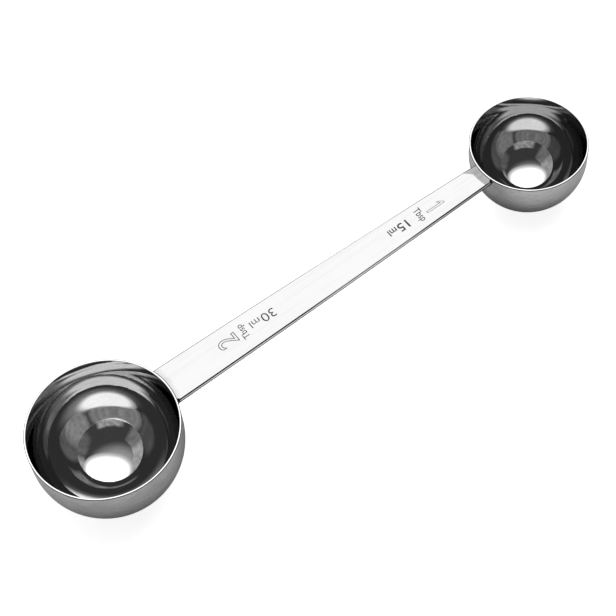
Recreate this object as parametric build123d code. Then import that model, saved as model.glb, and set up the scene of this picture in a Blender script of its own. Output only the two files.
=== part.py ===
from build123d import *
import math
import os

# Double-ended measuring spoon of stainless steel: two deep round cups, welded to the ends of a flat tapered bar.
# Lengths are in millimetres. X runs along the bar from the 30 ml cup to the 15 ml cup, Y across it, Z up.
# The origin is under the middle of the whole spoon, level with the lowest point of the deeper cup.

# Sheet that both cups are pressed from
sheet_thickness = 0.6
rim_edge_round = 0.12

# 30 ml cup, a hemisphere under a short straight wall
cup_30_inner_radius = 21.4
cup_30_straight_wall = 6.8

# 15 ml cup, of the same form
cup_15_inner_radius = 17.4
cup_15_straight_wall = 5.2

# Distance between the two cups' upright axes
cup_spacing = 154.4

# Flat bar, with its top level with both rims, and how far each of its sides bows out from a straight line
bar_thickness = 1.7
bar_width_at_30 = 12.6
bar_width_at_15 = 7.8
bar_side_bow = 0.28
bar_edge_round = 0.35

# How far the bar's blank runs past the middle of a cup's wall before its end is cut round
blank_overrun = 2.0

# Weld metal under the bar's ends, in the corner that it makes with each cup's wall
weld_30_along_bar = 1.6
weld_30_down_wall = 1.5
weld_15_along_bar = 3.6
weld_15_down_wall = 1.9
weld_toe = 0.3
weld_hollow = 0.25

# Sizes and places that follow from the ones above
cup_30_outer_radius = cup_30_inner_radius + sheet_thickness
cup_15_outer_radius = cup_15_inner_radius + sheet_thickness
cup_30_depth = cup_30_straight_wall + cup_30_outer_radius
cup_15_depth = cup_15_straight_wall + cup_15_outer_radius
rim_height = max(cup_30_depth, cup_15_depth)
bar_underside = rim_height - bar_thickness
cup_30_x = (cup_30_outer_radius - cup_15_outer_radius - cup_spacing) / 2
cup_15_x = cup_30_x + cup_spacing
blank_start = cup_30_x + cup_30_outer_radius - blank_overrun
blank_end = cup_15_x - cup_15_outer_radius + blank_overrun


def cup(centre_x, inner_radius, straight_wall):
    """Pressed cup: a hemisphere under a straight wall, one thickness of sheet all over, with a flat rim."""
    outer_radius = inner_radius + sheet_thickness
    equator = rim_height - straight_wall
    slant = math.sqrt(0.5)
    with BuildSketch(Plane.XZ) as wall:
        with BuildLine():
            ThreePointArc(
                (0, equator - outer_radius),
                (outer_radius * slant, equator - outer_radius * slant),
                (outer_radius, equator),
            )
            Polyline(
                (outer_radius, equator),
                (outer_radius, rim_height),
                (inner_radius, rim_height),
                (inner_radius, equator),
            )
            ThreePointArc(
                (inner_radius, equator),
                (inner_radius * slant, equator - inner_radius * slant),
                (0, equator - inner_radius),
            )
            Line((0, equator - inner_radius), (0, equator - outer_radius))
        make_face()
    shell = revolve(wall.sketch, Axis.Z, 360)
    rim_edges = shell.edges().filter_by(GeomType.CIRCLE).group_by(Axis.Z)[-1]
    edge_round = min(rim_edge_round, 0.4 * sheet_thickness)
    return Pos(centre_x, 0, 0) * fillet(rim_edges, edge_round)


def bar_outline(inset=0.0):
    """Plan of the bar's blank: both long sides bow out a little between a wide end and a narrow one."""
    wide = bar_width_at_30 / 2 - inset
    narrow = bar_width_at_15 / 2 - inset
    # A side comes half way out to the curve's middle point, so that point stands out by twice the bow
    middle_x = (blank_start + blank_end) / 2
    pull = (wide + narrow) / 2 + 2 * bar_side_bow
    with BuildSketch() as outline:
        with BuildLine():
            Line((blank_start, -wide), (blank_start, wide))
            Bezier((blank_start, wide), (middle_x, pull), (blank_end, narrow))
            Line((blank_end, narrow), (blank_end, -narrow))
            Bezier((blank_end, -narrow), (middle_x, -pull), (blank_start, -wide))
        make_face()
    return outline.sketch


def cup_space(centre_x, outer_radius):
    """Upright cylinder that a cup's straight wall fills, cut from the bar's end to make it fit."""
    return Pos(centre_x, 0, rim_height) * Cylinder(outer_radius, 4 * bar_thickness)


def handle():
    """Flat bar with its ends cut round to stand against both cups' walls, and rounded long edges."""
    bar = Pos(0, 0, bar_underside) * extrude(bar_outline(), bar_thickness)
    bar -= cup_space(cup_30_x, cup_30_outer_radius)
    bar -= cup_space(cup_15_x, cup_15_outer_radius)
    long_edges = bar.edges().filter_by(lambda edge: edge.length > (blank_end - blank_start) / 2)
    edge_round = min(bar_edge_round, 0.4 * bar_thickness)
    return fillet(long_edges, edge_round)


def weld(centre_x, outer_radius, along_bar, down_wall):
    """Weld metal with a hollowed face, round the cup's wall and no wider than the flat of the bar's underside."""
    wall_toe = (outer_radius + weld_toe, bar_underside - down_wall)
    bar_toe = (outer_radius + along_bar, bar_underside - weld_toe)
    middle = (
        (wall_toe[0] + bar_toe[0]) / 2 - weld_hollow,
        (wall_toe[1] + bar_toe[1]) / 2 + weld_hollow,
    )
    with BuildSketch(Plane.XZ) as section:
        with BuildLine():
            Polyline(
                wall_toe,
                (outer_radius, bar_underside - down_wall),
                (outer_radius, bar_underside),
                (outer_radius + along_bar, bar_underside),
                bar_toe,
            )
            ThreePointArc(bar_toe, middle, wall_toe)
        make_face()
    ring = Pos(centre_x, 0, 0) * revolve(section.sketch, Axis.Z, 360)
    under_bar = Pos(0, 0, bar_underside - down_wall) * extrude(bar_outline(bar_edge_round), down_wall)
    return ring & under_bar


nodes = {
    "cup_30ml": cup(cup_30_x, cup_30_inner_radius, cup_30_straight_wall),
    "cup_15ml": cup(cup_15_x, cup_15_inner_radius, cup_15_straight_wall),
    "handle": handle(),
    "weld_30ml": weld(cup_30_x, cup_30_outer_radius, weld_30_along_bar, weld_30_down_wall),
    "weld_15ml": weld(cup_15_x, cup_15_outer_radius, weld_15_along_bar, weld_15_down_wall),
}


def brimful_ml(inner_radius, straight_wall):
    """What a cup holds when it is filled to its rim, in millilitres."""
    return math.pi * inner_radius**2 * (straight_wall + 2 * inner_radius / 3) / 1000


os.makedirs("parts", exist_ok=True)
for name, solid in nodes.items():
    export_step(solid, f"parts/{name}.step")
print("30 ml cup holds", round(brimful_ml(cup_30_inner_radius, cup_30_straight_wall), 1), "ml to the brim")
print("15 ml cup holds", round(brimful_ml(cup_15_inner_radius, cup_15_straight_wall), 1), "ml to the brim")
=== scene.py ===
import math

import bmesh
import bpy
from mathutils import Matrix, Vector


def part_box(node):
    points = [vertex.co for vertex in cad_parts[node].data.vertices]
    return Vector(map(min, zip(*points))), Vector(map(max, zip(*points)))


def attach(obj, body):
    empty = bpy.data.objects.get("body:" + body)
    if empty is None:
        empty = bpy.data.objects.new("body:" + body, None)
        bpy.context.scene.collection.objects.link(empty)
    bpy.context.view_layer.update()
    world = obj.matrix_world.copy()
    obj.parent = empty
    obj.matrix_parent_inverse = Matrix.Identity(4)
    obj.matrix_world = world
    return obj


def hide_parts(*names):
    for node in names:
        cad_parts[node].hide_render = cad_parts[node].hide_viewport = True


# Double-ended steel measuring spoon: two mirror-bright cups with satin outsides, welded to a polished bar.
# Lengths are in metres, in the part's own frame. Places and outer sizes are read from the solids' boxes.

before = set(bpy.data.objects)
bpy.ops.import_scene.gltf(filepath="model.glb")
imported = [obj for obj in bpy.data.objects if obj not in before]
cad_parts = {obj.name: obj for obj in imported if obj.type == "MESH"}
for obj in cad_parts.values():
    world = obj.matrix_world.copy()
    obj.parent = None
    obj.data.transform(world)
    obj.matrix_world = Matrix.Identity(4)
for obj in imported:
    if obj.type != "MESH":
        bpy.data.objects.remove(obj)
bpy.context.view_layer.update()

MM = 0.001
TINY = 0.001 * MM

# Sheet that the cups are pressed from, its rounding at the rim, and a strip that keeps the rim's shading flat
SHEET_THICKNESS = 0.6 * MM
RIM_EDGE_ROUND = 0.12 * MM
RIM_STRIP = 0.02 * MM

# The bar's widths at both ends of its blank, its sides' bow and its edges' rounding. The blank overruns each
# cup's wall this far before its ends are cut
BAR_WIDTH_AT_30 = 12.6 * MM
BAR_WIDTH_AT_15 = 7.8 * MM
BAR_SIDE_BOW = 0.28 * MM
BAR_EDGE_ROUND = 0.42 * MM
BLANK_OVERRUN = 2.0 * MM

# The bar's sides and rounded edges are the faces whose normals have a Z below, and a Y above, these
SIDE_NORMAL_Z = 0.97
SIDE_NORMAL_Y = 0.2

# Where the bar's top is dressed down to the weld beside each cup: how far it reaches, and how deep it goes
DRESSED_30 = (1.6 * MM, 0.04 * MM)
DRESSED_15 = (3.0 * MM, 0.12 * MM)

# The bar is polished a hair below the rims, and its etched marks end a hair below them too
BAR_TOP_DROP = 0.010 * MM
MARK_TOP_DROP = 0.003 * MM
MARK_DEPTH = 0.05 * MM

# Weld beads under the bar: how far each comes along the bar and down the wall, how hollow its face is, and
# how thick its toes are
BEAD_30 = (1.6 * MM, 1.5 * MM)
BEAD_15 = (3.6 * MM, 1.9 * MM)
BEAD_HOLLOW = 0.25 * MM
BEAD_TOE = 0.3 * MM

# Ripples on the beads: their pitch and height, how much of a wave, in radians, they trail at a bead's toes,
# the power that broadens their crests, and the share of a pitch over which they fade at a bead's ends
RIPPLE_PITCH = 0.55 * MM
RIPPLE_HEIGHT = 0.05 * MM
RIPPLE_TRAIL = 2.16
RIPPLE_POWER = 0.7
RIPPLE_FADE = 0.6

# How finely the shapes are divided, and the angles from which their edges are sharp
TURN_STEPS = 256
BOWL_STEPS = 56
ROUND_STEPS = 4
BAR_STEPS = 180
BAR_CROSS_STEPS = 14
RIPPLE_STEPS = 6
SHARP_ANGLE = math.radians(35)
BEAD_SHARP_ANGLE = math.radians(50)

# Linear reflectance of the steel in each finish
MIRROR_GREY_30 = 0.60
MIRROR_GREY_15 = 0.51
RIM_GREY = 0.56
BAR_GREY = 0.39
SIDE_GREY = 0.42
SATIN_GREY_30 = 0.29
SATIN_GREY_15 = 0.32
WELD_GREY = 0.30
ETCHED_GREY = 0.05

# The least reflectance that the bar's top and its sides keep under their painted shade
DARKEST_BAR = 0.015
DARKEST_SIDE = 0.012

# How much of the satin steel's shine is left at glancing angles
SATIN_EDGE_TINT = 0.75

# Where the finishes change, in millimetres. Unless said otherwise, a pair says where a mask is empty and
# where it is full. How far below the rim: the painted shade, a darker line round a cup's outside under its
# rim
SHADE_UNDER_RIM = (0.35, 0.18)

# How far outside a cup's outer wall: the rim's broken edge, the bar's dark joint, and its ground patches
# The rim's broken edge also carries painted shade, a dark line along it
RIM_BREAK_AND_SHADE = (-0.24, -0.15)
JOINT_LINE = (0.20, 0.05)
GROUND_30 = (0.9, -0.6)
GROUND_15 = (2.75, 2.35)

# How ragged the patch by the 30 ml cup is, and from which Y, and how fast, the one by the 15 ml cup widens
GROUND_30_RAGGED = 2.0
GROUND_15_FLARE = (1.6, 1.1)

# How far from a near corner of the bar's ends: its pit, where shade is painted
PIT_AND_SHADE_REACH = (1.0, 0.6)

# How far below the bar's top, on its sides: the rollover corner and the fractured band, both darkened by
# painted shade
ROLLOVER_AND_SHADE = (0.36, 0.24)
TORN_BAND_AND_SHADE = (0.70, 0.82)

# The painted shade on the rollover corner is lightest at this X, and deepens from the first to the second
# distance from it
ROLL_SHADE_LIGHTEST_X = 15.0
ROLL_SHADE_DEEPENS = (8.0, 26.0)


def grey(level):
    """Opaque grey as a colour."""
    return (level, level, level, 1.0)


class Cup:
    """Places and sizes of one cup, read from its solid."""

    def __init__(self, node):
        low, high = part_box(node)
        self.node = node
        self.x = (low.x + high.x) / 2
        self.outer_radius = (high.x - low.x) / 2
        self.inner_radius = self.outer_radius - SHEET_THICKNESS
        self.rim_z = high.z
        self.equator_z = low.z + self.outer_radius


big = Cup("cup_30ml")
small = Cup("cup_15ml")
bar_low, bar_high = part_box("handle")


# Plan of the bar

def bar_half_width(along):
    """Half the bar's width at a share of the way along its blank, on the same bowed curve as the solid's."""
    wide, narrow = BAR_WIDTH_AT_30 / 2, BAR_WIDTH_AT_15 / 2
    pull = (wide + narrow) / 2 + 2 * BAR_SIDE_BOW
    return wide * (1 - along) ** 2 + 2 * pull * along * (1 - along) + narrow * along**2


def wall_x(cup, y, side):
    """Where a cup's outer wall stands at a distance y from the middle line."""
    return cup.x + side * math.sqrt(cup.outer_radius**2 - y**2)


def blank_share(x):
    """Share of the way along the bar's blank at which x lies."""
    start = big.x + big.outer_radius - BLANK_OVERRUN
    end = small.x - small.outer_radius + BLANK_OVERRUN
    return (x - start) / (end - start)


def bar_corner(cup, side):
    """Where the bar's near side meets a cup's wall."""
    y = -bar_half_width(blank_share(wall_x(cup, 0, side)))
    return wall_x(cup, y, side), y


# Node trees

def add(tree, kind, inputs=None, **settings):
    """One node, with its settings and its inputs given as values or as sockets to link."""
    node = tree.nodes.new(kind)
    for name, value in settings.items():
        setattr(node, name, value)
    for name, value in (inputs or {}).items():
        if isinstance(value, bpy.types.NodeSocket):
            tree.links.new(value, node.inputs[name])
        else:
            node.inputs[name].default_value = value
    return node


def sums(tree, operation, first, second=0.0):
    """Result socket of a Math node."""
    return add(tree, "ShaderNodeMath", {0: first, 1: second}, operation=operation).outputs[0]


def ramp(tree, value, start, end, low=0.0, high=1.0):
    """A smooth step from low to high as the value goes from start to end."""
    inputs = {"Value": value, "From Min": start, "From Max": end, "To Min": low, "To Max": high}
    return add(tree, "ShaderNodeMapRange", inputs, interpolation_type="SMOOTHSTEP").outputs["Result"]


def axes(tree, vector):
    """The X, Y and Z sockets of a vector."""
    return add(tree, "ShaderNodeSeparateXYZ", {0: vector}).outputs


def joined(tree, **parts):
    """A vector put together from some of its X, Y and Z."""
    return add(tree, "ShaderNodeCombineXYZ", parts).outputs[0]


def distance(tree, vector):
    """How long a vector is."""
    return add(tree, "ShaderNodeVectorMath", {0: vector}, operation="LENGTH").outputs["Value"]


def unit(tree, vector):
    """A vector's direction, one unit long."""
    return add(tree, "ShaderNodeVectorMath", {0: vector}, operation="NORMALIZE").outputs["Vector"]


def scaled(tree, vector, factor):
    """A vector multiplied by a number."""
    inputs = {0: vector, "Scale": factor}
    return add(tree, "ShaderNodeVectorMath", inputs, operation="SCALE").outputs["Vector"]


def empty_material(name):
    """A material with nothing in its tree."""
    material = bpy.data.materials.new(name)
    material.use_nodes = True
    material.node_tree.nodes.clear()
    return material, material.node_tree


def metal_material(name):
    """A material with a Principled shader wired to its output."""
    material, tree = empty_material(name)
    shader = add(tree, "ShaderNodeBsdfPrincipled")
    add(tree, "ShaderNodeOutputMaterial", {"Surface": shader.outputs[0]})
    return material, tree, shader


def noise(tree, vector, scale, detail):
    """Noise between 0 and 1 in space, at a scale in turns per unit of the vector."""
    return add(tree, "ShaderNodeTexNoise", {"Vector": vector, "Scale": scale, "Detail": detail}).outputs[0]


def stretched(tree, vector, scale, turn=0.0):
    """A place stretched along each axis, and then turned about Z."""
    turned = {"Vector": vector, "Scale": scale, "Rotation": (0, 0, turn)}
    return add(tree, "ShaderNodeMapping", turned).outputs[0]


def millimetres(tree, centre=(0, 0, 0)):
    """The place on a piece in millimetres, counted from a centre given in metres."""
    place = add(tree, "ShaderNodeTexCoord").outputs["Object"]
    inputs = {"Vector": place, "Location": [-c / MM for c in centre], "Scale": (1 / MM, 1 / MM, 1 / MM)}
    return add(tree, "ShaderNodeMapping", inputs).outputs[0]


def weigh(tree, base, *shares):
    """A plain number plus masks, each multiplied by its own weight."""
    total = base
    for mask, weight in shares:
        inputs = {0: mask, 1: weight, 2: total}
        total = add(tree, "ShaderNodeMath", inputs, operation="MULTIPLY_ADD").outputs[0]
    return total


# Effects that several finishes share. Each is a group whose places and lengths are in millimetres

def shader_group(name, inputs, outputs):
    """An empty group with its inputs, a place where the value is None, and its number outputs."""
    tree = bpy.data.node_groups.new(name, "ShaderNodeTree")
    for label, value in inputs.items():
        kind = "NodeSocketVector" if value is None else "NodeSocketFloat"
        socket = tree.interface.new_socket(label, in_out="INPUT", socket_type=kind)
        if value is not None:
            socket.default_value = value
    for label in outputs:
        tree.interface.new_socket(label, in_out="OUTPUT", socket_type="NodeSocketFloat")
    start = tree.nodes.new("NodeGroupInput").outputs
    end = tree.nodes.new("NodeGroupOutput").inputs
    return tree, start, end


def use(tree, group, inputs):
    """A shared effect placed in a material with its own values."""
    return add(tree, "ShaderNodeGroup", inputs, node_tree=group).outputs


def turned_polish_group():
    """Polishing lines round a cup's axis, from its bowl up to its rim: broad rings, and short fine arcs."""
    inputs = {"Place": None, "Radius": 20.0, "Ring pitch": 1.0, "Arc pitch": 0.2, "Arc length": 6.0}
    tree, start, end = shader_group("turned_polish", inputs, ["Rings", "Arcs"])
    parts = axes(tree, start["Place"])
    flat = joined(tree, X=parts["X"], Y=parts["Y"])
    down = sums(tree, "MAXIMUM", sums(tree, "MULTIPLY", parts["Z"], -1.0), 0.0)
    up = sums(tree, "MAXIMUM", parts["Z"], 0.0)
    run = weigh(tree, up, (sums(tree, "ARCTAN2", distance(tree, flat), down), start["Radius"]))
    wavering = weigh(tree, run, (noise(tree, start["Place"], 0.06, 1.0), 1.2))
    ring_inputs = {"W": sums(tree, "DIVIDE", wavering, start["Ring pitch"]), "Scale": 1.0, "Detail": 3.0}
    rings = add(tree, "ShaderNodeTexNoise", ring_inputs, noise_dimensions="1D").outputs[0]
    arc_turns = sums(tree, "DIVIDE", start["Radius"], start["Arc length"])
    around = scaled(tree, unit(tree, flat), arc_turns)
    across = joined(tree, Z=sums(tree, "DIVIDE", run, start["Arc pitch"]))
    arc_place = add(tree, "ShaderNodeVectorMath", {0: around, 1: across}, operation="ADD").outputs["Vector"]
    tree.links.new(rings, end["Rings"])
    tree.links.new(noise(tree, arc_place, 1.0, 2.0), end["Arcs"])
    return tree


def straight_polish_group():
    """Polishing lines along X: fine ones, and a few broad bands."""
    inputs = {"Place": None, "Length": 8.0, "Pitch": 0.2}
    tree, start, end = shader_group("straight_polish", inputs, ["Lines", "Bands"])
    parts = axes(tree, start["Place"])
    for output, coarser in (("Lines", 1.0), ("Bands", 6.0)):
        pitch = sums(tree, "MULTIPLY", start["Pitch"], coarser)
        length = sums(tree, "MULTIPLY", start["Length"], coarser)
        place = joined(
            tree,
            X=sums(tree, "DIVIDE", parts["X"], length),
            Y=sums(tree, "DIVIDE", parts["Y"], pitch),
            Z=sums(tree, "DIVIDE", parts["Z"], pitch),
        )
        tree.links.new(noise(tree, place, 1.0, 2.0), end[output])
    return tree


# Three layers of scratches, each with a turn that gives it lines of its own, and how fine they are. Then how
# the lines are drawn out along X
SCRATCH_LAYERS = ((0.35, 0.9), (1.25, 0.7), (2.4, 1.15))
SCRATCH_STRETCH = (0.06, 1.7, 0.8)


def hairline_group():
    """Fine scratches along X, in three layers, as wiping leaves them."""
    tree, start, end = shader_group("hairline_scratches", {"Place": None, "Size": 1.0}, ["Scratches"])
    total = 0.0
    for turn, fineness in SCRATCH_LAYERS:
        place = scaled(tree, start["Place"], sums(tree, "DIVIDE", fineness, start["Size"]))
        lines = noise(tree, stretched(tree, place, SCRATCH_STRETCH, turn), 1.0, 0.0)
        total = sums(tree, "MAXIMUM", ramp(tree, lines, 0.66, 0.74), total)
    tree.links.new(total, end["Scratches"])
    return tree


def handling_group():
    """Soft smudges left by fingers and wiping."""
    tree, start, end = shader_group("handling_haze", {"Place": None, "Size": 8.0}, ["Haze"])
    place = scaled(tree, start["Place"], sums(tree, "DIVIDE", 1.0, start["Size"]))
    tree.links.new(ramp(tree, noise(tree, place, 1.0, 3.0), 0.38, 0.68), end["Haze"])
    return tree


turned_polish = turned_polish_group()
straight_polish = straight_polish_group()
hairlines = hairline_group()
handling = handling_group()


# Finishes of the steel

def bare_metal(tree, shader, base, roughness, height):
    """Ends a finish: bare metal with its own colour and roughness, and a relief in millimetres."""
    shader.inputs["Metallic"].default_value = 1.0
    tree.links.new(base, shader.inputs["Base Color"])
    tree.links.new(roughness, shader.inputs["Roughness"])
    relief = add(tree, "ShaderNodeBump", {"Height": height, "Distance": MM, "Strength": 1.0})
    tree.links.new(relief.outputs["Normal"], shader.inputs["Normal"])


def mirror_inside(cup, grey_level, name):
    """Mirror polish inside a cup, with the polishing mop's rings."""
    material, tree, shader = metal_material(name)
    place = millimetres(tree, (cup.x, 0, cup.equator_z))
    lines = use(tree, turned_polish, {"Place": place, "Radius": cup.inner_radius / MM, "Ring pitch": 1.1,
                                      "Arc pitch": 0.22, "Arc length": 9.0})
    scratches = use(tree, hairlines, {"Place": place, "Size": 1.0})["Scratches"]
    haze = use(tree, handling, {"Place": place, "Size": 7.0})["Haze"]
    arcs = ramp(tree, lines["Arcs"], 0.50, 0.68)
    base = weigh(tree, grey_level, (arcs, -0.03), (haze, -0.02), (scratches, 0.02))
    roughness = weigh(tree, 0.02, (arcs, 0.008), (haze, 0.008), (scratches, 0.02))
    height = weigh(tree, 0.0, (lines["Rings"], 0.003), (lines["Arcs"], 0.00004))
    bare_metal(tree, shader, base, roughness, height)
    return material


def satin_outside(cup, grey_level, name):
    """Satin finish outside a cup, brushed round its axis, with painted shade as a darker line just under the
    rim.
    """
    material, tree, shader = metal_material(name)
    place = millimetres(tree, (cup.x, 0, cup.equator_z))
    lines = use(tree, turned_polish, {"Place": place, "Radius": cup.outer_radius / MM, "Ring pitch": 2.5,
                                      "Arc pitch": 0.28, "Arc length": 4.0})
    haze = use(tree, handling, {"Place": place, "Size": 6.0})["Haze"]
    arcs = ramp(tree, lines["Arcs"], 0.30, 0.72)
    below_rim = sums(tree, "SUBTRACT", (cup.rim_z - cup.equator_z) / MM, axes(tree, place)["Z"])
    # Painted shade: a darker line round the outside just under the rim
    shade_under_rim = ramp(tree, below_rim, *SHADE_UNDER_RIM)
    base = weigh(tree, grey_level - 0.03, (arcs, 0.07), (haze, -0.02), (shade_under_rim, -0.15))
    roughness = weigh(tree, 0.25, (arcs, 0.08), (haze, 0.05))
    height = weigh(tree, 0.0, (lines["Rings"], 0.008), (lines["Arcs"], 0.003))
    shader.inputs["Specular Tint"].default_value = grey(SATIN_EDGE_TINT)
    bare_metal(tree, shader, base, roughness, height)
    return material


def outside_wall(tree, cup, flare=None):
    """How far outside a cup's outer wall a place is, in millimetres. A flare, a Y and a slope, lessens it."""
    parts = axes(tree, millimetres(tree, (cup.x, 0, 0)))
    flat = joined(tree, X=parts["X"], Y=parts["Y"])
    gap = sums(tree, "SUBTRACT", distance(tree, flat), cup.outer_radius / MM)
    if flare is None:
        return gap
    flare_from, slope = flare
    beyond = sums(tree, "MAXIMUM", sums(tree, "SUBTRACT", parts["Y"], flare_from), 0.0)
    return weigh(tree, gap, (beyond, -slope))


def polished_rim(cup, name):
    """Bright flat rim, ground level and then polished, with painted shade as a dark line along its broken,
    rougher outer edge.
    """
    material, tree, shader = metal_material(name)
    place = millimetres(tree)
    lines = use(tree, straight_polish, {"Place": place, "Length": 1.5, "Pitch": 0.15})
    haze = use(tree, handling, {"Place": place, "Size": 4.0})["Haze"]
    # Painted shade: a dark line along the rim's broken outer edge, which is also rougher
    broken_edge_and_shade = ramp(tree, outside_wall(tree, cup), *RIM_BREAK_AND_SHADE)
    base = weigh(tree, RIM_GREY - 0.02, (lines["Lines"], 0.04), (haze, -0.03), (broken_edge_and_shade, -0.50))
    roughness = weigh(tree, 0.07, (lines["Bands"], 0.04), (haze, 0.04), (broken_edge_and_shade, 0.15))
    height = weigh(tree, 0.0, (lines["Lines"], 0.001))
    bare_metal(tree, shader, base, roughness, height)
    return material


def near_corner(tree, corner):
    """Mask of the small pit that the weld leaves at a corner of the bar's end, where shade is painted."""
    flat = stretched(tree, millimetres(tree, (*corner, 0)), (1, 1, 0))
    return ramp(tree, distance(tree, flat), *PIT_AND_SHADE_REACH)


def weld_pits_and_shade(tree):
    """Mask of the pit at each end of the bar's near side, where shade is painted."""
    corners = bar_corner(big, 1), bar_corner(small, -1)
    return sums(tree, "MAXIMUM", *(near_corner(tree, corner) for corner in corners))


def polished_bar(name):
    """Polished bar, ground satin where the weld was dressed beside each cup, with a dipped, rougher pit at
    each joint that painted shade darkens.
    """
    material, tree, shader = metal_material(name)
    place = millimetres(tree)
    lines = use(tree, straight_polish, {"Place": place, "Length": 12.0, "Pitch": 0.22})
    scratches = use(tree, hairlines, {"Place": place, "Size": 1.4})["Scratches"]
    haze = use(tree, handling, {"Place": place, "Size": 9.0})["Haze"]
    ragged = weigh(tree, outside_wall(tree, big), (noise(tree, place, 0.45, 3.0), -GROUND_30_RAGGED))
    ground_30 = ramp(tree, ragged, *GROUND_30)
    ground_15 = ramp(tree, outside_wall(tree, small, GROUND_15_FLARE), *GROUND_15)
    joint = sums(tree, "MAXIMUM", *(ramp(tree, outside_wall(tree, cup), *JOINT_LINE) for cup in (big, small)))
    # Painted shade: the pit at each end is darkened in colour, besides its real dip and roughness
    pits_and_shade = weld_pits_and_shade(tree)
    shades = ((lines["Lines"], 0.003), (lines["Bands"], 0.002), (haze, -0.006), (scratches, -0.010),
              (ground_15, -0.12), (ground_30, -0.05), (joint, -0.12), (pits_and_shade, -0.4))
    base = sums(tree, "MAXIMUM", weigh(tree, BAR_GREY - 0.01, *shades), DARKEST_BAR)
    roughness = weigh(tree, 0.045, (lines["Bands"], 0.01), (haze, 0.01), (scratches, 0.05), (ground_15, 0.27),
                      (ground_30, 0.14), (pits_and_shade, 0.3))
    height = weigh(tree, 0.0, (lines["Lines"], 0.0002), (lines["Bands"], 0.0003), (scratches, -0.001),
                   (pits_and_shade, -0.2))
    bare_metal(tree, shader, base, roughness, height)
    return material


def sheared_side_painted_shade(name):
    """The bar's sides as a press cuts them: a rollover at the top, then a bright band, then a fractured one.
    Painted shade darkens the rollover, the fractured band and the pit at each end.
    """
    material, tree, shader = metal_material(name)
    place = millimetres(tree)
    lines = use(tree, straight_polish, {"Place": place, "Length": 0.7, "Pitch": 0.5})
    parts = axes(tree, place)
    below_top = sums(tree, "SUBTRACT", bar_high.z / MM, parts["Z"])
    # Painted shade: the fractured band and the rollover are darkened as lines, the rollover more away from
    # one X
    torn_and_shade = ramp(tree, weigh(tree, below_top, (lines["Lines"], -0.2)), *TORN_BAND_AND_SHADE)
    rolled_and_shade = ramp(tree, below_top, *ROLLOVER_AND_SHADE)
    from_lightest_shade = sums(tree, "ABSOLUTE", sums(tree, "SUBTRACT", parts["X"], ROLL_SHADE_LIGHTEST_X))
    rolled_painted_shade = sums(tree, "MULTIPLY", rolled_and_shade, ramp(tree, from_lightest_shade, *ROLL_SHADE_DEEPENS))
    shades = ((torn_and_shade, -0.38), (rolled_and_shade, -0.08), (rolled_painted_shade, -0.33), (lines["Lines"], 0.03),
              (weld_pits_and_shade(tree), -0.4))
    base = sums(tree, "MAXIMUM", weigh(tree, SIDE_GREY, *shades), DARKEST_SIDE)
    roughness = weigh(tree, 0.10, (torn_and_shade, 0.25), (rolled_and_shade, 0.08), (lines["Bands"], 0.05))
    height = weigh(tree, 0.0, (sums(tree, "MULTIPLY", torn_and_shade, lines["Lines"]), 0.03))
    bare_metal(tree, shader, base, roughness, height)
    return material


def weld_metal(name):
    """Dressed weld metal: dull, mottled, and a little scratched."""
    material, tree, shader = metal_material(name)
    place = millimetres(tree)
    grain = noise(tree, place, 1.6, 4.0)
    haze = use(tree, handling, {"Place": place, "Size": 2.0})["Haze"]
    scratches = use(tree, hairlines, {"Place": place, "Size": 0.5})["Scratches"]
    base = weigh(tree, WELD_GREY - 0.10, (grain, 0.16), (haze, -0.05), (scratches, 0.06))
    roughness = weigh(tree, 0.30, (grain, 0.12), (haze, 0.12))
    height = weigh(tree, 0.0, (grain, 0.03), (scratches, -0.006))
    bare_metal(tree, shader, base, roughness, height)
    return material


def etched(name):
    """Dark, finely rough etched steel."""
    material, tree, shader = metal_material(name)
    place = millimetres(tree)
    grain = noise(tree, place, 9.0, 3.0)
    haze = use(tree, handling, {"Place": place, "Size": 1.5})["Haze"]
    base = weigh(tree, ETCHED_GREY - 0.02, (grain, 0.04), (haze, 0.03))
    roughness = weigh(tree, 0.45, (grain, 0.2))
    height = weigh(tree, 0.0, (grain, 0.006))
    bare_metal(tree, shader, base, roughness, height)
    return material


# Meshes

def finish_mesh(bm, name, materials, sharp_angle=SHARP_ANGLE):
    """The bmesh as a named object of the spoon, with smooth faces that break at sharp edges."""
    mesh = bpy.data.meshes.new(name)
    bm.to_mesh(mesh)
    bm.free()
    for material in materials:
        mesh.materials.append(material)
    mesh.shade_smooth()
    mesh.set_sharp_from_angle(angle=sharp_angle)
    piece = bpy.data.objects.new(name, mesh)
    bpy.context.scene.collection.objects.link(piece)
    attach(piece, "root")
    return piece


INSIDE, OUTSIDE, RIM = 0, 1, 2


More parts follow.
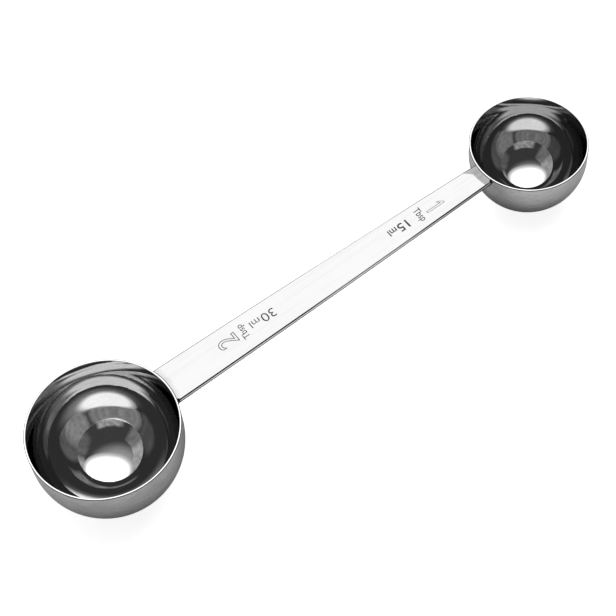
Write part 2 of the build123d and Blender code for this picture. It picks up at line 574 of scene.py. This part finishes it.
def cup_piece(cup, name, materials):
    """The pressed cup: its section is drawn from the outer pole over the rim to the inner pole, then spun."""
    bm = bmesh.new()
    centre = Vector((0, 0, cup.equator_z))
    tip = bm.verts.new((0, 0, cup.equator_z - cup.outer_radius))
    quarter = bmesh.ops.spin(
        bm, geom=[tip], cent=centre, axis=(0, -1, 0), angle=math.pi / 2, steps=BOWL_STEPS
    )
    tip = next(v for v in quarter["geom_last"] if isinstance(v, bmesh.types.BMVert))
    wall_height = cup.rim_z - cup.equator_z
    for move in ((0, 0, wall_height), (-SHEET_THICKNESS, 0, 0), (0, 0, -wall_height)):
        tip = bmesh.ops.extrude_vert_indiv(bm, verts=[tip])["verts"][0]
        tip.co += Vector(move)
    bmesh.ops.spin(bm, geom=[tip], cent=centre, axis=(0, 1, 0), angle=math.pi / 2, steps=BOWL_STEPS)
    bmesh.ops.spin(
        bm, geom=bm.verts[:] + bm.edges[:], cent=(0, 0, 0), axis=(0, 0, 1), angle=2 * math.pi,
        steps=TURN_STEPS, use_merge=True,
    )
    bmesh.ops.remove_doubles(bm, verts=bm.verts[:], dist=TINY)
    bmesh.ops.dissolve_degenerate(bm, edges=bm.edges[:], dist=0.5 * TINY)
    rim_edges = [e for e in bm.edges if all(v.co.z > cup.rim_z - TINY for v in e.verts)]
    rim_rings = [e for e in rim_edges if abs(e.verts[0].co.xy.length - e.verts[1].co.xy.length) < 10 * TINY]
    bmesh.ops.bevel(
        bm, geom=rim_rings, offset=RIM_EDGE_ROUND, segments=ROUND_STEPS, profile=0.5,
        affect="EDGES", material=-1,
    )
    flat_ring = [f for f in bm.faces if all(v.co.z > cup.rim_z - TINY for v in f.verts)]
    bmesh.ops.inset_region(bm, faces=flat_ring, thickness=RIM_STRIP, use_even_offset=True)
    bmesh.ops.recalc_face_normals(bm, faces=bm.faces[:])
    middle_radius = cup.outer_radius - SHEET_THICKNESS / 2
    for face in bm.faces:
        spot = face.calc_center_median()
        # The rim's finish takes in its rounded edges
        if cup.rim_z - spot.z < 1.05 * RIM_EDGE_ROUND:
            face.material_index = RIM
        elif spot.z > cup.equator_z:
            face.material_index = INSIDE if spot.xy.length < middle_radius else OUTSIDE
        else:
            face.material_index = INSIDE if (spot - centre).length < middle_radius else OUTSIDE
    bmesh.ops.translate(bm, verts=bm.verts[:], vec=(cup.x, 0, 0))
    piece = finish_mesh(bm, name, materials)
    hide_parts(cup.node)


def dressed_depth(x, y):
    """How far the bar's top is dressed down at a place, towards the weld beside each cup."""
    depth = 0.0
    for cup, (reach, deepest) in ((big, DRESSED_30), (small, DRESSED_15)):
        gap = math.hypot(x - cup.x, y) - cup.outer_radius
        share = min(max(1 - gap / reach, 0.0), 1.0)
        depth = max(depth, deepest * share * share * (3 - 2 * share))
    return depth


TOP, SIDE = 0, 1


def handle_piece(materials):
    """Flat bar: a grid between both cups' walls and the bowed sides, extruded, with rounded long edges."""
    bm = bmesh.new()
    bmesh.ops.create_grid(bm, x_segments=BAR_STEPS, y_segments=BAR_CROSS_STEPS, size=1.0)
    for vert in bm.verts:
        along, across = (vert.co.x + 1) / 2, vert.co.y
        x = bar_low.x + along * (bar_high.x - bar_low.x)
        # The width follows from x, and x from the walls' places at that width, so both settle in a few rounds
        for _ in range(4):
            y = across * bar_half_width(blank_share(x))
            start, end = wall_x(big, y, 1), wall_x(small, y, -1)
            x = start + along * (end - start)
        vert.co = (x, y, bar_high.z)
    top = bm.faces[:]
    under = bmesh.ops.extrude_face_region(bm, geom=top, use_keep_orig=True)
    under_verts = [v for v in under["geom"] if isinstance(v, bmesh.types.BMVert)]
    for vert in under_verts:
        vert.co.z = bar_low.z
    bmesh.ops.recalc_face_normals(bm, faces=bm.faces[:])

    def on_side(vert):
        """Whether a corner of the plain plate stands on one of its long sides."""
        return abs(abs(vert.co.y) - bar_half_width(blank_share(vert.co.x))) < TINY

    long_edges = [
        e for e in bm.edges
        if all(on_side(v) for v in e.verts) and abs(e.verts[0].co.z - e.verts[1].co.z) < TINY
    ]
    bmesh.ops.bevel(
        bm, geom=long_edges, offset=BAR_EDGE_ROUND, segments=2 * ROUND_STEPS, profile=0.5,
        affect="EDGES", material=-1,
    )
    bmesh.ops.recalc_face_normals(bm, faces=bm.faces[:])
    bm.normal_update()
    for face in bm.faces:
        sideways = abs(face.normal.z) < SIDE_NORMAL_Z and abs(face.normal.y) > SIDE_NORMAL_Y
        face.material_index = SIDE if sideways else TOP
    for vert in bm.verts:
        share = (vert.co.z - bar_low.z) / (bar_high.z - bar_low.z)
        vert.co.z -= share * (BAR_TOP_DROP + dressed_depth(vert.co.x, vert.co.y))
    piece = finish_mesh(bm, "handle_bar", materials)
    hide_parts("handle")


def weld_piece(cup, side, reach, name, node, materials):
    """Weld bead in the corner under the bar: a section spun round the cup's wall, its face rippled."""
    along, down = reach
    under = bar_low.z
    wall_toe = Vector((cup.outer_radius + BEAD_TOE, 0, under - down))
    bar_toe = Vector((cup.outer_radius + along, 0, under - BEAD_TOE))
    back = [Vector((cup.outer_radius, 0, under - down)), Vector((cup.outer_radius, 0, under)),
            Vector((cup.outer_radius + along, 0, under))]
    sag = Vector((-BEAD_HOLLOW, 0, BEAD_HOLLOW))
    face = []
    for step in range(2 * ROUND_STEPS + 1):
        share = step / (2 * ROUND_STEPS)
        face.append(bar_toe.lerp(wall_toe, share) + sag * 4 * share * (1 - share))
    bm = bmesh.new()
    corners = [bm.verts.new(point) for point in back + face]
    outline = [bm.edges.new((corners[i], corners[(i + 1) % len(corners)])) for i in range(len(corners))]
    flat_half = bar_half_width(blank_share(cup.x + side * cup.outer_radius)) - BAR_EDGE_ROUND
    half_angle = math.asin(flat_half / (cup.outer_radius + along))
    arc = 2 * half_angle * cup.outer_radius
    steps = math.ceil(arc / RIPPLE_PITCH) * RIPPLE_STEPS
    bmesh.ops.rotate(bm, verts=bm.verts[:], cent=(0, 0, 0), matrix=Matrix.Rotation(-half_angle, 3, "Z"))
    spun = bmesh.ops.spin(
        bm, geom=bm.verts[:] + bm.edges[:], cent=(0, 0, 0), axis=(0, 0, 1), angle=2 * half_angle, steps=steps
    )
    ends = [outline, [e for e in spun["geom_last"] if isinstance(e, bmesh.types.BMEdge)]]
    for loop in ends:
        bmesh.ops.contextual_create(bm, geom=loop)
    bmesh.ops.recalc_face_normals(bm, faces=bm.faces[:])
    for vert in bm.verts:
        out = vert.co.xy.length - cup.outer_radius
        drop = under - vert.co.z
        if min(out, drop) < 10 * TINY:
            continue
        angle = math.atan2(vert.co.y, vert.co.x)
        off_middle = out / along - drop / down
        phase = 2 * math.pi * angle * cup.outer_radius / RIPPLE_PITCH + RIPPLE_TRAIL * off_middle**2
        fade = min(1.0, (half_angle - abs(angle)) * cup.outer_radius / (RIPPLE_FADE * RIPPLE_PITCH))
        swell = RIPPLE_HEIGHT * max(fade, 0.0) * (0.5 + 0.5 * math.sin(phase)) ** RIPPLE_POWER
        vert.co += Vector((math.cos(angle), math.sin(angle), -1)).normalized() * swell
    if side < 0:
        bmesh.ops.rotate(bm, verts=bm.verts[:], cent=(0, 0, 0), matrix=Matrix.Rotation(math.pi, 3, "Z"))
    bmesh.ops.translate(bm, verts=bm.verts[:], vec=(cup.x, 0, 0))
    piece = finish_mesh(bm, name, materials, BEAD_SHARP_ANGLE)
    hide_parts(node)


# Etched marks: their letters, the corner where the first letter stands, their turn in degrees from +X,
# the height of their capitals and their length. All but the angle are in millimetres
MARKS = {
    "mark_30ml": [("30", (-15.7, 1.95), 180, 2.95, 4.45), ("ml", (-20.8, 1.95), 180, 2.25, 3.25)],
    "mark_15ml": [("15", (32.8, 1.6), 180, 2.9, 3.5), ("ml", (28.8, 1.6), 180, 2.2, 2.9)],
    "mark_tbsp_by_30": [("Tbsp", (-25.9, -2.06), 90, 2.0, 5.2)],
    "mark_tbsp_by_15": [("Tbsp", (36.3, 2.68), -90, 2.2, 4.8)],
    "mark_digit_2": [("2", (-29.2, -1.2), 90, 6.2, 3.6)],
    "mark_digit_1": [("1", (39.5, 0.9), -90, 6.4, 1.8)],
}

# Outline of the large 1, with its flag, in shares of its height
DIGIT_1_CORNERS = [
    (0.17, 0.0), (0.28, 0.0), (0.28, 1.0), (0.21, 1.0), (0.0, 0.76), (0.03, 0.69), (0.17, 0.82),
]
OUTLINE_HALF_WIDTH = 0.13 * MM

# How much bolder than their font the solid letters are, in shares of its size. The other marks are outlines
LETTER_BOLDNESS = {
    "mark_30ml": -0.004, "mark_15ml": 0.012, "mark_tbsp_by_30": 0.002, "mark_tbsp_by_15": 0.006,
}


def lettering(bm, text, corner, angle, height, length, boldness):
    """Adds letters to the bmesh, solid ones at their boldness and only outlines where it is None. They are
    drawn at the font's own size and any depth, and scaled afterwards."""
    # The large 1 is drawn from its own corners, and all else in Blender's own font
    if text == "1":
        curve = bpy.data.curves.new("letters", "CURVE")
        spline = curve.splines.new("POLY")
        spline.points.add(len(DIGIT_1_CORNERS) - 1)
        for point, corner_share in zip(spline.points, DIGIT_1_CORNERS):
            point.co = (*corner_share, 0, 1)
        spline.use_cyclic_u = True
    else:
        curve = bpy.data.curves.new("letters", "FONT")
        curve.body = text
    curve.resolution_u = 6
    if boldness is None:
        curve.fill_mode = "NONE"
        curve.bevel_depth = OUTLINE_HALF_WIDTH / (height * MM)
        curve.bevel_resolution = 2
    else:
        curve.extrude = 0.1
        curve.offset = boldness
    writer = bpy.data.objects.new("letters", curve)
    bpy.context.scene.collection.objects.link(writer)
    mesh = bpy.data.meshes.new_from_object(writer)
    bpy.data.objects.remove(writer)
    bpy.data.curves.remove(curve)
    low = Vector([min(v.co[axis] for v in mesh.vertices) for axis in range(3)])
    high = Vector([max(v.co[axis] for v in mesh.vertices) for axis in range(3)])
    top = bar_high.z - MARK_TOP_DROP
    sizes = (length * MM / (high.x - low.x), height * MM / high.y, MARK_DEPTH / (high.z - low.z))
    mesh.transform(Matrix.Translation((-low.x, 0, -high.z)))
    mesh.transform(Matrix.Diagonal((*sizes, 1.0)))
    mesh.transform(Matrix.Rotation(math.radians(angle), 4, "Z"))
    mesh.transform(Matrix.Translation((corner[0] * MM, corner[1] * MM, top)))
    bm.from_mesh(mesh)
    bpy.data.meshes.remove(mesh)


def mark_piece(name, words, materials):
    """Etched letters of one mark, joined in one piece."""
    bm = bmesh.new()
    for word in words:
        lettering(bm, *word, LETTER_BOLDNESS.get(name))
    bmesh.ops.remove_doubles(bm, verts=bm.verts[:], dist=TINY)
    bmesh.ops.dissolve_degenerate(bm, edges=bm.edges[:], dist=2 * TINY)
    bmesh.ops.recalc_face_normals(bm, faces=bm.faces[:])
    piece = finish_mesh(bm, name, materials)


# Camera, at the photograph's viewing angle

CAMERA_PLACE = (-0.13825, -0.21953, 0.42945)
CAMERA_AIM = (-0.00777, -0.00479, 0.0288)
CAMERA_ROLL = math.radians(-6.695)
CAMERA_LENS = 96.86


def photograph_camera():
    """Camera that sees the spoon as the photograph does."""
    camera = bpy.data.cameras.new("camera")
    camera.sensor_width = 36
    camera.lens = CAMERA_LENS
    camera.clip_start = 0.01
    camera.clip_end = 50
    viewer = bpy.data.objects.new("camera", camera)
    bpy.context.scene.collection.objects.link(viewer)
    aim = (Vector(CAMERA_AIM) - Vector(CAMERA_PLACE)).to_track_quat("-Z", "Y").to_matrix().to_4x4()
    viewer.matrix_world = Matrix.Translation(CAMERA_PLACE) @ aim @ Matrix.Rotation(CAMERA_ROLL, 4, "Z")
    bpy.context.scene.camera = viewer


# Studio

# Overhead softbox, an oval: its height, its middle, half its width and depth, and how it is turned. Its level
# falls from the bright core to the dimmer border, and the border fades out, at these shares of its half sizes
SOFTBOX_HEIGHT = 0.77
SOFTBOX_MIDDLE = (0.26, 0.27)
SOFTBOX_HALF = (0.56, 0.47)
SOFTBOX_TURN = math.radians(-31.3)
SOFTBOX_CORE = (1.05, 0.72)
SOFTBOX_BORDER = (1.12, 1.02)
SOFTBOX_LEVEL = 2.5
SOFTBOX_BORDER_LEVEL = 0.7

# Sheets that stand round the table. Each has the azimuths where it starts and ends, the elevations between
# which its top fades out, how soft its ends are, all in degrees, and its level
SHEETS = {
    "back": (-28, 92, 46, 52, 10, 0.55),
    "left": (100, 168, 58, 62, 9, 0.56),
    "left_dim": (150, 195, 58, 62, 8, 0.27),
    "front": (212, 262, 39, 45, 5, 0.50),
    "right": (285, 335, 45, 60, 14, 0.20),
}
ROOM_LEVEL = 0.07

# Unevenness of the sheets' light: folds that hang down them, and clutter in the front one. Each has the scale
# of its noise, then where that is dark and where it is bright, and the shares of light that it leaves there
FOLD_STRETCH = (7, 7, 0.8)
FOLD_SHARES = (0.3, 0.7, 0.8, 1.15)
CLUTTER_SCALE = 9.0
CLUTTER_SHARES = (0.35, 0.65, 0.72, 1.2)

# Glow that the softbox throws on the ceiling: its middle, where it ends and where it is full, and its level.
# Its lengths are in shares of the ceiling's height. Directions lower than the last figure count as if at it
CEILING_MIDDLE = (0.20, 0.42)
CEILING_REACH = (0.95, 0.5)
CEILING_GLOW = 0.42
CEILING_LOWEST = 0.02


def edge_mask(tree, direction, azimuth, softness):
    """Mask of the half of the room that lies anticlockwise of an azimuth, which counts from +X towards +Y."""
    across = math.radians(azimuth + 90)
    inputs = {0: direction, 1: (math.cos(across), math.sin(across), 0)}
    dot = add(tree, "ShaderNodeVectorMath", inputs, operation="DOT_PRODUCT").outputs["Value"]
    reach = math.sin(math.radians(softness))
    return ramp(tree, dot, -reach, reach)


def sheet_light(tree, direction, height, start, end, fade_from, fade_to, softness, level):
    """Light of a sheet between two azimuths, from the table up to where its top fades out."""
    after = edge_mask(tree, direction, start, softness)
    before = sums(tree, "SUBTRACT", 1.0, edge_mask(tree, direction, end, softness))
    top = ramp(tree, height, math.sin(math.radians(fade_to)), math.sin(math.radians(fade_from)), 0.0, level)
    return sums(tree, "MULTIPLY", sums(tree, "MULTIPLY", after, before), top)


def studio():
    """World of the studio: a dim room, the glow on its ceiling and the sheets. The camera sees it white."""
    world = bpy.data.worlds.new("studio")
    bpy.context.scene.world = world
    world.use_nodes = True
    tree = world.node_tree
    tree.nodes.clear()
    direction = unit(tree, add(tree, "ShaderNodeTexCoord").outputs["Generated"])
    parts = axes(tree, direction)
    height = parts["Z"]
    overhead = sums(tree, "MAXIMUM", height, CEILING_LOWEST)
    off_middle = [
        sums(tree, "SUBTRACT", sums(tree, "DIVIDE", parts[axis], overhead), middle)
        for axis, middle in zip("XY", CEILING_MIDDLE)
    ]
    reach = distance(tree, joined(tree, X=off_middle[0], Y=off_middle[1]))
    total = sums(tree, "ADD", ramp(tree, reach, *CEILING_REACH, 0.0, CEILING_GLOW), ROOM_LEVEL)
    folds = ramp(tree, noise(tree, stretched(tree, direction, FOLD_STRETCH), 1.0, 1.0), *FOLD_SHARES)
    clutter = ramp(tree, noise(tree, direction, CLUTTER_SCALE, 1.0), *CLUTTER_SHARES)
    for name, sheet in SHEETS.items():
        light = sheet_light(tree, direction, height, *sheet)
        light = sums(tree, "MULTIPLY", light, clutter if name == "front" else folds)
        total = sums(tree, "MAXIMUM", total, light)
    path = add(tree, "ShaderNodeLightPath")
    strength = sums(tree, "MAXIMUM", total, path.outputs["Is Camera Ray"])
    shader = add(tree, "ShaderNodeBackground", {"Color": grey(1.0), "Strength": strength})
    add(tree, "ShaderNodeOutputWorld", {"Surface": shader.outputs[0]})


def square_sheet(name, half_size, turn, middle):
    """A square sheet, level at first, then turned and moved to its middle."""
    bm = bmesh.new()
    bmesh.ops.create_grid(bm, x_segments=1, y_segments=1, size=half_size)
    bmesh.ops.rotate(bm, verts=bm.verts[:], cent=(0, 0, 0), matrix=turn)
    bmesh.ops.translate(bm, verts=bm.verts[:], vec=middle)
    mesh = bpy.data.meshes.new(name)
    bm.to_mesh(mesh)
    bm.free()
    sheet = bpy.data.objects.new(name, mesh)
    bpy.context.scene.collection.objects.link(sheet)
    return sheet


def softbox():
    """Overhead softbox: a lit oval sheet, brightest in its core."""
    middle = (*SOFTBOX_MIDDLE, SOFTBOX_HEIGHT)
    half_size = SOFTBOX_BORDER[0] * max(SOFTBOX_HALF)
    box = square_sheet("softbox", half_size, Matrix.Rotation(SOFTBOX_TURN, 3, "Z"), middle)
    box.visible_camera = False
    box.visible_shadow = False
    material, tree = empty_material("softbox_light")
    place = add(tree, "ShaderNodeTexCoord").outputs["Object"]
    turn = (0, 0, SOFTBOX_TURN)
    oval = {"Vector": place, "Location": middle, "Rotation": turn, "Scale": (*SOFTBOX_HALF, 1)}
    shares = add(tree, "ShaderNodeMapping", oval, vector_type="TEXTURE").outputs[0]
    reach = distance(tree, shares)
    mask = ramp(tree, reach, *SOFTBOX_BORDER)
    level = ramp(tree, reach, *SOFTBOX_CORE, SOFTBOX_BORDER_LEVEL, SOFTBOX_LEVEL)
    glow = add(tree, "ShaderNodeEmission", {"Color": grey(1.0), "Strength": level})
    clear = add(tree, "ShaderNodeBsdfTransparent")
    both = add(tree, "ShaderNodeMixShader", {0: mask, 1: clear.outputs[0], 2: glow.outputs[0]})
    add(tree, "ShaderNodeOutputMaterial", {"Surface": both.outputs[0]})
    box.data.materials.append(material)


# The table: half its size, how far it stays clear of the cups, its own glow and its reflectance
FLOOR_REACH = 3.0
FLOOR_GAP = 0.02 * MM
FLOOR_GLOW = 0.78
FLOOR_GREY = 0.9

# Shade that the mirrored table has close to what stands on it: how far it reaches, and how strong it is
CONTACT_SHADE_REACH = 0.035
CONTACT_SHADE_POWER = 2.6


def table():
    """Pale table that both cups stand on. It slopes: the cups differ in depth, and their rims are level."""
    slope_start = Vector((big.x, 0, big.equator_z))
    slope_end = Vector((small.x, 0, small.equator_z))
    gap = (slope_end - slope_start).length
    rise = math.atan2(slope_end.z - slope_start.z, slope_end.x - slope_start.x)
    tilt = rise + math.asin((big.outer_radius - small.outer_radius) / gap)
    up = Vector((-math.sin(tilt), 0, math.cos(tilt)))
    foot = slope_start - up * (big.outer_radius + FLOOR_GAP)
    floor = square_sheet("table", FLOOR_REACH, Matrix.Rotation(-tilt, 3, "Y"), foot)
    material, tree = empty_material("table_white")
    path = add(tree, "ShaderNodeLightPath").outputs
    near = add(tree, "ShaderNodeAmbientOcclusion", {"Distance": CONTACT_SHADE_REACH}, samples=8)
    open_share = sums(tree, "POWER", near.outputs["AO"], CONTACT_SHADE_POWER)
    mirrored = sums(tree, "MAXIMUM", path["Is Glossy Ray"], path["Is Transmission Ray"])
    seen = sums(tree, "MAXIMUM", path["Is Camera Ray"], sums(tree, "MULTIPLY", mirrored, open_share))
    own_light = sums(tree, "MULTIPLY", seen, FLOOR_GLOW)
    glow = add(tree, "ShaderNodeEmission", {"Color": grey(1.0), "Strength": own_light})
    lost = sums(tree, "MULTIPLY", mirrored, sums(tree, "SUBTRACT", 1.0, open_share))
    pale = sums(tree, "MULTIPLY", sums(tree, "SUBTRACT", 1.0, lost), FLOOR_GREY)
    matt = add(tree, "ShaderNodeBsdfDiffuse", {"Color": pale})
    both = add(tree, "ShaderNodeAddShader", {0: glow.outputs[0], 1: matt.outputs[0]})
    clear = add(tree, "ShaderNodeBsdfTransparent")
    under = add(tree, "ShaderNodeNewGeometry").outputs["Backfacing"]
    shown = add(tree, "ShaderNodeMixShader", {0: under, 1: both.outputs[0], 2: clear.outputs[0]})
    add(tree, "ShaderNodeOutputMaterial", {"Surface": shown.outputs[0]})
    floor.data.materials.append(material)


weld_steel = weld_metal("weld_dressed_metal")
etched_steel = etched("etched_dark_steel")
for cup, name, mirror_grey, satin_grey in (
    (big, "cup_30ml", MIRROR_GREY_30, SATIN_GREY_30), (small, "cup_15ml", MIRROR_GREY_15, SATIN_GREY_15),
):
    inside = mirror_inside(cup, mirror_grey, name + "_mirror_inside")
    outside = satin_outside(cup, satin_grey, name + "_satin_outside")
    cup_piece(cup, name + "_shell", [inside, outside, polished_rim(cup, name + "_polished_rim")])
handle_piece([polished_bar("bar_polished_steel"), sheared_side_painted_shade("bar_sheared_side_painted_shade")])
weld_piece(big, 1, BEAD_30, "weld_bead_30ml", "weld_30ml", [weld_steel])
weld_piece(small, -1, BEAD_15, "weld_bead_15ml", "weld_15ml", [weld_steel])
for name, words in MARKS.items():
    mark_piece(name, words, [etched_steel])

photograph_camera()
studio()
softbox()
table()

bpy.context.scene.view_settings.view_transform = "Standard"
